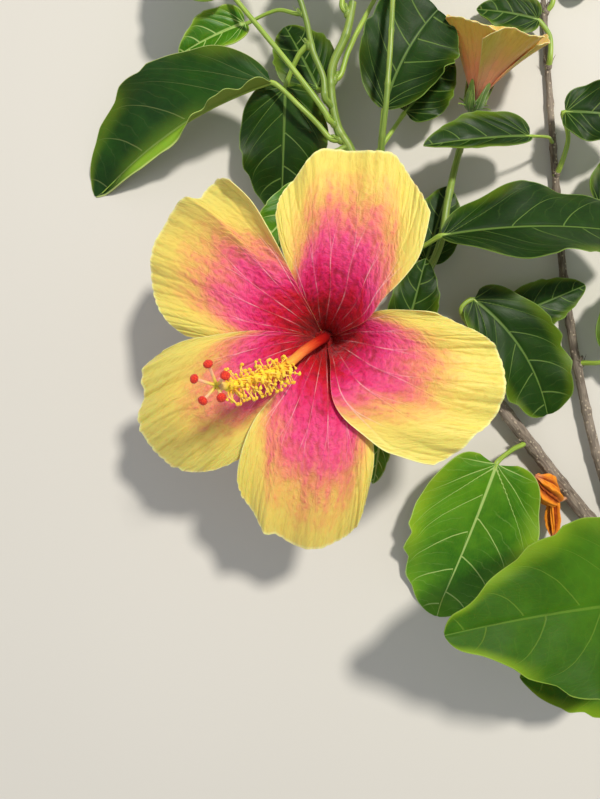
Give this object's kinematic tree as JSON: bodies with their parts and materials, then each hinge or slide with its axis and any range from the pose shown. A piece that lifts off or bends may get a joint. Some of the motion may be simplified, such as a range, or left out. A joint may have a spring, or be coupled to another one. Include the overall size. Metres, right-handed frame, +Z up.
{
  "type": "cut hibiscus branch with bloom",
  "caption": "Cut hibiscus branch lying down: a large open bloom with its staminal column, a half-open bloom, a bud and toothed leaves on woody and green stems.",
  "frame": {"origin": "bottom centre of the whole branch's box, on the surface that the branch lies on", "axes": "+Y from the cut end's side towards the shoot tips, +X towards the woody bough, +Z up, the way the open bloom faces"},
  "size_m": [0.2736, 0.3496, 0.1152],
  "materials": {
    "petal_yellow_pink": "velvety petal, yellow at the margin through salmon and pink to a deep red throat",
    "petal_peach": "soft petal, peach with a yellow margin",
    "column_orange": "waxy column, red at its foot, with yellow stamens and red stigmas",
    "calyx_green": "matt green sepals and bracts",
    "leaf_dark": "glossy dark green leaf with pale veins",
    "leaf_lit": "glossy mid-green leaf with pale veins",
    "stem_green": "smooth green shoot",
    "bark": "grey-brown bark with lenticels",
    "withered_orange": "dry, twisted orange petals"
  },
  "bodies": {
    "root": {"stem_cut_end": "bark", "stem_lower": "bark", "stem_middle": "bark", "stem_upper": "stem_green", "stem_tip": "stem_green", "bough_lower": "bark", "bough_upper": "bark", "side_shoot": "stem_green", "left_shoot": "stem_green", "bud_stalk": "stem_green", "leaf_upper_left": "leaf_dark", "leaf_hanging": "leaf_dark", "leaf_upper_middle": "leaf_dark", "leaf_behind_middle": "leaf_dark", "leaf_right": "leaf_dark", "leaf_shaded": "leaf_dark", "leaf_right_lower": "leaf_dark", "leaf_right_behind": "leaf_dark", "leaf_bottom_right": "leaf_lit", "leaf_foreground": "leaf_lit", "leaf_foreground_lower": "leaf_lit", "leaf_bough_left": "leaf_dark", "leaf_bough_right": "leaf_dark", "leaf_bough_top": "leaf_dark", "leaf_behind_bloom": "leaf_dark", "leaf_young_left": "leaf_lit", "leaf_between_petals": "leaf_lit", "leaf_under_bloom": "leaf_lit", "leaf_behind_shoots": "leaf_dark", "leaf_top_left": "leaf_dark", "leaf_top_middle": "leaf_dark", "leaf_top_right": "leaf_dark", "leaf_shoot_tip": "leaf_lit", "leaf_right_outer": "leaf_dark", "leaf_right_upper": "leaf_dark", "leaf_bough_tip": "leaf_dark", "petal_top": "petal_yellow_pink", "petal_upper_left": "petal_yellow_pink", "petal_left": "petal_yellow_pink", "petal_bottom": "petal_yellow_pink", "petal_right": "petal_yellow_pink", "staminal_column": "column_orange", "calyx": "calyx_green", "flower_stalk": "stem_green", "second_bloom_petals": "petal_peach", "second_bloom_calyx": "calyx_green", "closed_bud": "calyx_green", "withered_bloom": "withered_orange"}
  },
  "joints": []
}
